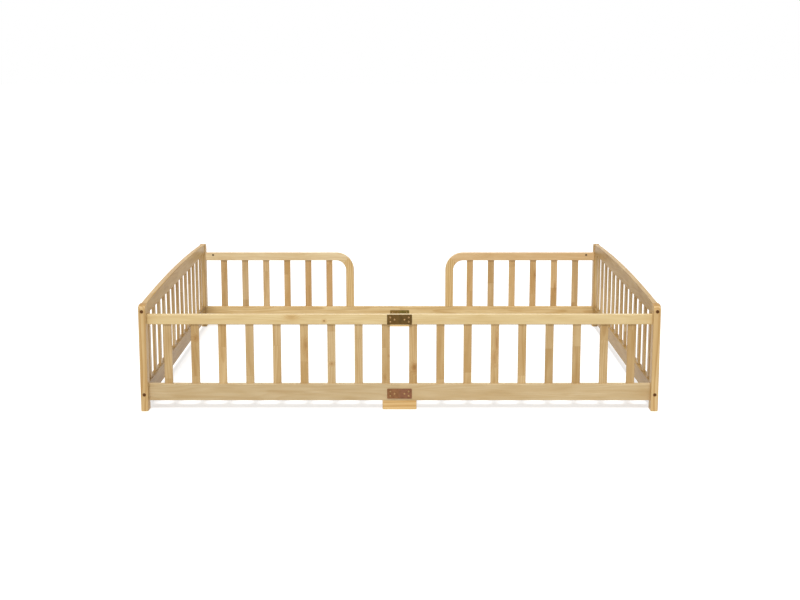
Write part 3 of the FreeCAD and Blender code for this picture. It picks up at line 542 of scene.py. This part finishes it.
boardKinds = {
    "stile": {"colour": (217, 187, 134), "grain": "Z", "knots": 0.06, "spread": 0.015,
              "rings": 0.80, "patches": 0.45, "pieces": 0.0, "length": 1000.0,
              "ringWidth": 0.0075, "pith": (0.052, 0.060)},
    "end_top_rail": {"colour": (208, 176, 118), "grain": "Y", "knots": 0.16, "spread": 0.015,
                     "rings": 0.40, "patches": 0.65, "pieces": 0.3, "length": 0.52},
    "end_bottom_rail": {"colour": (194, 160, 102), "grain": "Y", "knots": 0.18, "spread": 0.020,
                        "rings": 0.40, "patches": 0.75, "pieces": 0.4, "length": 0.47},
    "end_slats": {"colour": (212, 181, 130), "grain": "Z", "knots": 0.10, "spread": 0.0,
                  "rings": 0.42, "patches": 0.70, "pieces": 0.9, "length": 0.23},
    "front_top_rail": {"colour": (230, 207, 155), "grain": "X", "knots": 0.03, "spread": 0.010,
                       "rings": 0.24, "patches": 0.40, "pieces": 0.0, "length": 1000.0},
    # darker than the front top rail: painted shade, for the lesser light from above on the lower
    # rail
    "front_bottom_rail": {"colour": (209, 186, 143), "grain": "X", "knots": 0.04,
                          "spread": 0.012, "rings": 0.22, "patches": 0.50, "pieces": 0.0,
                          "length": 1000.0},
    "back_bottom_rail": {"colour": (221, 194, 141), "grain": "X", "knots": 0.12, "spread": 0.012,
                         "rings": 0.50, "patches": 0.60, "pieces": 0.0, "length": 1000.0},
    "guard_top_rail": {"colour": (230, 208, 164), "grain": "X", "knots": 0.10, "spread": 0.010,
                       "rings": 0.40, "patches": 0.55, "pieces": 0.0, "length": 1000.0},
    "guard_upright": {"colour": (223, 194, 140), "grain": "Z", "knots": 0.0, "spread": 0.012,
                      "rings": 0.80, "patches": 0.40, "pieces": 0.0, "length": 1000.0,
                      "ringWidth": 0.0070, "pith": (-0.060, 0.045)},
    "front_slat": {"colour": (204, 175, 126), "grain": "Z", "knots": 0.08, "spread": 0.030,
                   "rings": 0.42, "patches": 0.75, "pieces": 0.9, "length": 0.21},
    "guard_slat": {"colour": (206, 175, 126), "grain": "Z", "knots": 0.08, "spread": 0.030,
                   "rings": 0.42, "patches": 0.75, "pieces": 0.8, "length": 0.21},
    "middle_foot": {"colour": (228, 195, 136), "grain": "X", "knots": 0.0, "spread": 0.0,
                    "rings": 0.80, "patches": 0.20, "pieces": 0.0, "length": 1000.0,
                    "ringWidth": 0.0170, "pith": (0.066, 0.006)},
}

# boards whose wood is warmer or deeper than their kind, and boards whose tint holds painted light
# and painted shade, as marked below
boardTintsAndPaintedLight = {
    "right_guard_top_rail": (0.96, 0.87, 0.80),
    "left_guard_slat_5": (0.96, 0.87, 0.76),
    "left_guard_slat_6": (0.97, 0.88, 0.78),
    # paler than its kind: painted light, the same wood shown as if lit
    "back_middle_foot": (1.12, 1.24, 1.50),
    "front_bottom_rail_left": (0.97, 0.98, 1.00),
    # the end rails face the shaded inside of the bed: these darker tints are painted shade
    "left_end_top_rail": (0.96, 0.94, 0.90),
    "right_end_top_rail": (0.88, 0.86, 0.82),
    "left_end_bottom_rail": (0.82, 0.82, 0.86),
    "right_end_bottom_rail": (0.87, 0.86, 0.80),
}

# knots and dark figure at set places: metres, size across the grain, stretch along it
boardMarks = {
    "front_top_rail_left": [
        {"at": (-0.287, -0.712, 0.349), "size": 0.0042, "stretch": 1.3, "dark": 0.75},
        {"at": (-0.413, -0.712, 0.364), "size": 0.0070, "stretch": 2.2, "dark": 0.10}],
    "front_slat_02": [
        {"at": (-0.778, -0.706, 0.281), "size": 0.0090, "stretch": 0.9, "dark": 0.16}],
    "front_slat_06": [
        {"at": (-0.359, -0.706, 0.252), "size": 0.0060, "stretch": 3.0, "dark": 0.30},
        {"at": (-0.353, -0.706, 0.215), "size": 0.0040, "stretch": 4.0, "dark": 0.20}],
    "front_slat_07": [
        {"at": (-0.259, -0.706, 0.180), "size": 0.0070, "stretch": 0.8, "dark": 0.30}],
    "front_slat_09": [
        {"at": (-0.040, -0.706, 0.211), "size": 0.0030, "stretch": 1.5, "dark": 0.85},
        {"at": (-0.055, -0.706, 0.125), "size": 0.0036, "stretch": 2.4, "dark": 0.45}],
    "front_slat_10": [
        {"at": (0.059, -0.706, 0.166), "size": 0.0085, "stretch": 1.5, "dark": 0.42}],
    "front_slat_13": [
        {"at": (0.371, -0.706, 0.262), "size": 0.0050, "stretch": 6.0, "dark": 0.35},
        {"at": (0.364, -0.706, 0.205), "size": 0.0050, "stretch": 4.0, "dark": 0.22}],
    "right_guard_upright": [
        {"at": (0.279, 0.692, 0.320), "size": 0.0026, "stretch": 1.6, "dark": 0.8}],
    "right_guard_slat_3": [
        {"at": (0.672, 0.699, 0.262), "size": 0.0045, "stretch": 3.4, "dark": 0.45}],
    "right_guard_slat_2": [
        {"at": (0.772, 0.699, 0.205), "size": 0.0034, "stretch": 5.0, "dark": 0.40}],
}

# what varies from board to board
boardChance = {
    "start": 41,
    "lightness": 2,                   # times the kind's spread
    "warmth": 1.2,
    "pithDistance": (0.035, 0.095),
    "seeds": (0, 20),
    "ringWidth": (0.0034, 0.0056),
}
endSlatPitch = 0.103


def kindOf(name):
    for kind in boardKinds:
        if all(word in name.split("_") for word in kind.split("_")):
            return kind
    return None


def dressBoards():
    chance = random.Random(boardChance["start"])
    dressed = 0
    for name in sorted(bedNodes):
        kind = kindOf(name)
        if kind is None:
            continue
        look = boardKinds[kind]
        inRow = kind == "end_slats"
        shift = 1 + boardChance["lightness"] * chance.uniform(-1, 1) * look["spread"]
        warmth = boardChance["warmth"] * chance.uniform(-1, 1) * look["spread"]
        tint = boardTintsAndPaintedLight.get(name, (1, 1, 1))
        red, green, blue, _ = linear(*look["colour"])
        colour = (red * (shift + warmth / 2) * tint[0], green * shift * tint[1],
                  blue * (shift - warmth) * tint[2])
        angle = chance.uniform(0, 2 * math.pi)
        distance = chance.uniform(*boardChance["pithDistance"])
        seed = chance.uniform(*boardChance["seeds"])
        ringWidth = chance.uniform(*boardChance["ringWidth"])
        middle = middleOf(name)
        dress(name, makePine(
            "pine_" + name, colour, look["grain"],
            (middle[0], 0, middle[2]) if inRow else middle, seed,
            look.get("pith", (distance * math.cos(angle), distance * math.sin(angle))), look,
            look.get("ringWidth", ringWidth), pitch=endSlatPitch if inRow else None,
            marks=boardMarks.get(name, ())))
        dressed += 1
    print("pine boards dressed:", dressed)


dressBoards()


# metal fittings: bronzed steel, with worn and mottled places

patinaLook = {
    "mottleCells": 90.0,                  # in a metre
    "scratchCells": (60.0, 900.0, 1500.0),
    "dullFrom": (0.40, 0.66),
    "dullStrength": 0.45,
    "dullTint": (0.62, 0.58, 0.50, 1.0),
    "rubbedFrom": (0.60, 0.74),
    "rubbedStrength": 0.30,
    "rubbedTint": (1.5, 1.4, 1.2, 1.0),
    "roughnessChange": (-0.08, 0.12),
    "sideBlend": 0.006,                   # metres either side of the bed's middle
}


def makePatinaGroup():
    tree, source, result = newGroup("bronze_patina", {"Vector": "Vector"},
                                    {"Mottle": "Float", "Scratches": "Float"})
    mottle = noiseNode(tree, (-800, 100), source["Vector"], 4.0)
    mottle.inputs["Scale"].default_value = patinaLook["mottleCells"]
    fine = noiseNode(tree, (-800, -200), vectorNode(
        tree, "MULTIPLY", (-1000, -200), source["Vector"], patinaLook["scratchCells"]), 2.0)
    tree.links.new(mottle.outputs["Fac"], result["Mottle"])
    tree.links.new(fine.outputs["Fac"], result["Scratches"])
    return tree


bronzePatina = makePatinaGroup()

metalLooks = {
    "front_upper_splice_plate": {"left": (104, 78, 36), "right": (98, 74, 34),
                                 "metallic": 0.75, "rough": 0.46},
    "front_lower_splice_plate": {"left": (138, 96, 62), "right": (132, 90, 64),
                                 "metallic": 0.75, "rough": 0.42},
    "back_splice_plate": {"left": (128, 100, 48), "right": (112, 96, 42),
                          "metallic": 0.75, "rough": 0.44},
    "plate_screws": {"left": (172, 138, 94), "right": (172, 138, 94),
                     "metallic": 1.0, "rough": 0.38},
    "end_rail_bolts": {"left": (108, 72, 40), "right": (108, 72, 40),
                       "metallic": 0.85, "rough": 0.36},
    "fence_rail_bolts": {"left": (108, 72, 40), "right": (108, 72, 40),
                         "metallic": 0.85, "rough": 0.36},
    "barrel_nuts": {"left": (96, 84, 68), "right": (96, 84, 68),
                    "metallic": 0.9, "rough": 0.42},
}


def makeMetal(name, look):
    material = bpy.data.materials.new("metal_" + name)
    material.use_nodes = True
    tree = material.node_tree
    surface = tree.nodes["Principled BSDF"].inputs
    coordinates = addNode(tree, "ShaderNodeTexCoord", (-1400, 0)).outputs["Object"]
    group = addNode(tree, "ShaderNodeGroup", (-1000, 0), node_tree=bronzePatina)
    tree.links.new(coordinates, group.inputs["Vector"])
    patina = group.outputs
    across = addNode(tree, "ShaderNodeSeparateXYZ", (-1200, 250))
    tree.links.new(coordinates, across.inputs[0])
    side = riseNode(tree, (-1000, 250), across.outputs["X"], -patinaLook["sideBlend"],
                    patinaLook["sideBlend"])
    base = mixColour(tree, (-700, 250), side, linear(*look["left"]), linear(*look["right"]))
    dull = riseNode(tree, (-850, 50), patina["Mottle"], *patinaLook["dullFrom"])
    base = tintColour(tree, (-500, 250), dull, patinaLook["dullStrength"], base,
                      patinaLook["dullTint"])
    rubbed = riseNode(tree, (-650, -50), patina["Scratches"], *patinaLook["rubbedFrom"])
    base = tintColour(tree, (-300, 250), rubbed, patinaLook["rubbedStrength"], base,
                      patinaLook["rubbedTint"])
    tree.links.new(base, surface["Base Color"])
    surface["Metallic"].default_value = look["metallic"]
    shine = addNode(tree, "ShaderNodeMapRange", (-500, -150))
    for label, change in zip(("To Min", "To Max"), patinaLook["roughnessChange"]):
        shine.inputs[label].default_value = look["rough"] + change
    tree.links.new(patina["Mottle"], shine.inputs["Value"])
    tree.links.new(shine.outputs["Result"], surface["Roughness"])
    return material


metals = {name: makeMetal(name, look) for name, look in metalLooks.items()}
for metalNode, metal in metals.items():
    dress(metalNode, metal)
print("metal fittings dressed:", len(metals))


# dowels: plain beech

beechLook = {"colour": (214, 178, 130), "grain": "Z", "knots": 0.0, "rings": 0.15,
             "patches": 0.3, "pieces": 0.0, "length": 1000.0, "ringWidth": 0.0042,
             "pith": (0.05, 0.03), "seed": 3.0}

dress("joint_dowels", makePine(
    "beech_dowels", linear(*beechLook["colour"])[:3], beechLook["grain"], (0, 0, 0),
    beechLook["seed"], beechLook["pith"], beechLook, beechLook["ringWidth"]))
print("dowels dressed")


# screws of the splice plates: one is modelled, with its cross recess, and copied

screwLook = {
    "headWidth": 0.0070,
    "headHeight": 0.0020,
    "headSides": 24,
    "rounding": 0.0013,
    "roundingSteps": 4,
    "shank": 0.0035,
    "length": 0.0140,
    "recessWidth": 0.0036,
    "recessGap": 0.0008,
    "recessDepth": 0.0013,
    "recessTaper": (0.45, 0.7, 1),  # the recess's bottom, as a share of its mouth
    "smoothBelow": 35,              # degrees between faces
    "outerSpread": 0.070,           # between the pairs at the plate's ends
    "innerSpread": 0.038,           # between the two at mid-height
    "stack": 0.017,                 # between the two of a pair
    "turnStart": 7,                 # each screw stops at a turn of its own
}
facingEnough = 0.9


def selectFacing(way):
    # the mesh in edit mode, with its faces chosen that look up (1) or down (-1)
    bpy.ops.mesh.select_all(action="DESELECT")
    bpy.ops.object.mode_set(mode="OBJECT")
    for face in bpy.context.object.data.polygons:
        face.select = way * face.normal.z > facingEnough
    bpy.ops.object.mode_set(mode="EDIT")


def cutRecess(screw, turn):
    look = screwLook
    bpy.ops.object.select_all(action="DESELECT")
    bpy.ops.mesh.primitive_cube_add(size=1, location=(0, 0, look["headHeight"]))
    cutter = bpy.context.object
    bpy.ops.object.mode_set(mode="EDIT")
    bpy.ops.mesh.select_mode(type="FACE")
    bpy.ops.mesh.select_all(action="SELECT")
    bpy.ops.transform.resize(value=(look["recessWidth"], look["recessGap"],
                                    2 * look["recessDepth"]))
    selectFacing(-1)
    bpy.ops.transform.resize(value=look["recessTaper"])
    bpy.ops.object.mode_set(mode="OBJECT")
    cutter.rotation_euler = (0, 0, turn)
    bpy.ops.object.select_all(action="DESELECT")
    screw.select_set(True)
    bpy.context.view_layer.objects.active = screw
    notch = screw.modifiers.new("recess", "BOOLEAN")
    notch.operation = "DIFFERENCE"
    notch.solver = "EXACT"
    notch.object = cutter
    bpy.ops.object.modifier_apply(modifier=notch.name)
    bpy.data.objects.remove(cutter, do_unlink=True)


def makeScrew():
    look = screwLook
    bpy.ops.object.select_all(action="DESELECT")
    bpy.ops.mesh.primitive_cylinder_add(
        vertices=look["headSides"], radius=look["headWidth"] / 2, depth=look["headHeight"],
        location=(0, 0, look["headHeight"] / 2))
    screw = bpy.context.object
    bpy.ops.object.transform_apply(location=True, rotation=False, scale=False)
    bpy.ops.object.mode_set(mode="EDIT")
    bpy.ops.mesh.select_mode(type="FACE")
    selectFacing(1)
    bpy.ops.mesh.region_to_loop()
    bpy.ops.mesh.bevel(offset=look["rounding"], segments=look["roundingSteps"], affect="EDGES")
    bpy.ops.mesh.select_mode(type="FACE")
    selectFacing(-1)
    bpy.ops.mesh.inset(thickness=(look["headWidth"] - look["shank"]) / 2, depth=0)
    bpy.ops.mesh.extrude_region_move(TRANSFORM_OT_translate={"value": (0, 0, -look["length"])})
    bpy.ops.object.mode_set(mode="OBJECT")
    for turn in (0, math.pi / 2):
        cutRecess(screw, turn)
    bpy.ops.object.shade_smooth_by_angle(angle=math.radians(look["smoothBelow"]))
    return screw


def placeScrews():
    look = screwLook
    chance = random.Random(look["turnStart"])
    pattern = makeScrew()
    spots = ((look["outerSpread"] / 2, look["stack"] / 2),
             (look["outerSpread"] / 2, -look["stack"] / 2),
             (look["innerSpread"] / 2, 0))
    copies = []
    for plate in ("front_upper_splice_plate", "front_lower_splice_plate", "back_splice_plate"):
        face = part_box(plate)[0][1]
        middle = middleOf(plate)[2]
        for side in (-1, 1):
            for across, up in spots:
                screw = pattern.copy()
                screw.data = pattern.data.copy()
                bpy.context.collection.objects.link(screw)
                screw.matrix_world = (Matrix.Translation((side * across, face, middle + up))
                                      @ Matrix.Rotation(math.pi / 2, 4, "X")
                                      @ Matrix.Rotation(chance.uniform(0, math.pi), 4, "Z"))
                copies.append(screw)
    bpy.data.objects.remove(pattern, do_unlink=True)
    bpy.ops.object.select_all(action="DESELECT")
    for screw in copies:
        screw.select_set(True)
    bpy.context.view_layer.objects.active = copies[0]
    bpy.ops.object.transform_apply(location=True, rotation=True, scale=True)
    bpy.ops.object.join()
    screws = bpy.context.object
    screws.name = screws.data.name = "cross_head_screws"
    screws.data.materials.clear()
    screws.data.materials.append(metals["plate_screws"])
    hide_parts("plate_screws")
    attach(screws, "root")
    print("screws placed:", len(copies), "with", len(screws.data.polygons), "faces")


placeScrews()
